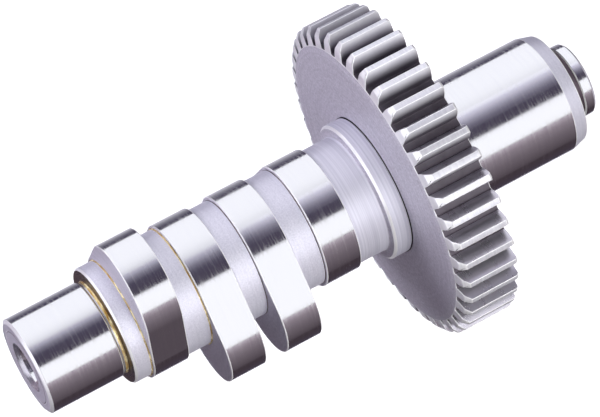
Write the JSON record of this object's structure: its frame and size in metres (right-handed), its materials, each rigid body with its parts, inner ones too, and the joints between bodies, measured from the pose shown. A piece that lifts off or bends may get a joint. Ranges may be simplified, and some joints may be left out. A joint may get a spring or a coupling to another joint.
{
  "type": "camshaft",
  "caption": "Steel camshaft for a small V-twin engine: four cam lobes between two ground journals, with a spur timing gear pressed on beside the outer journal.",
  "frame": {"origin": "centre of the flat outer end face, on the shaft axis", "axes": "+Z along the shaft axis from the outer end to the inner journal; the nose of the first lobe from the inner journal points 21 degrees from -Y towards +X"},
  "size_m": [0.0688, 0.0688, 0.1276],
  "materials": {
    "ground_steel": "ground and polished journals and lobes, fine matte turned core",
    "gear_steel": "satin machined",
    "key_steel": "bright drawn"
  },
  "bodies": {
    "root": {"camshaft": "ground_steel", "timing_gear": "gear_steel", "gear_key": "key_steel"}
  },
  "joints": []
}
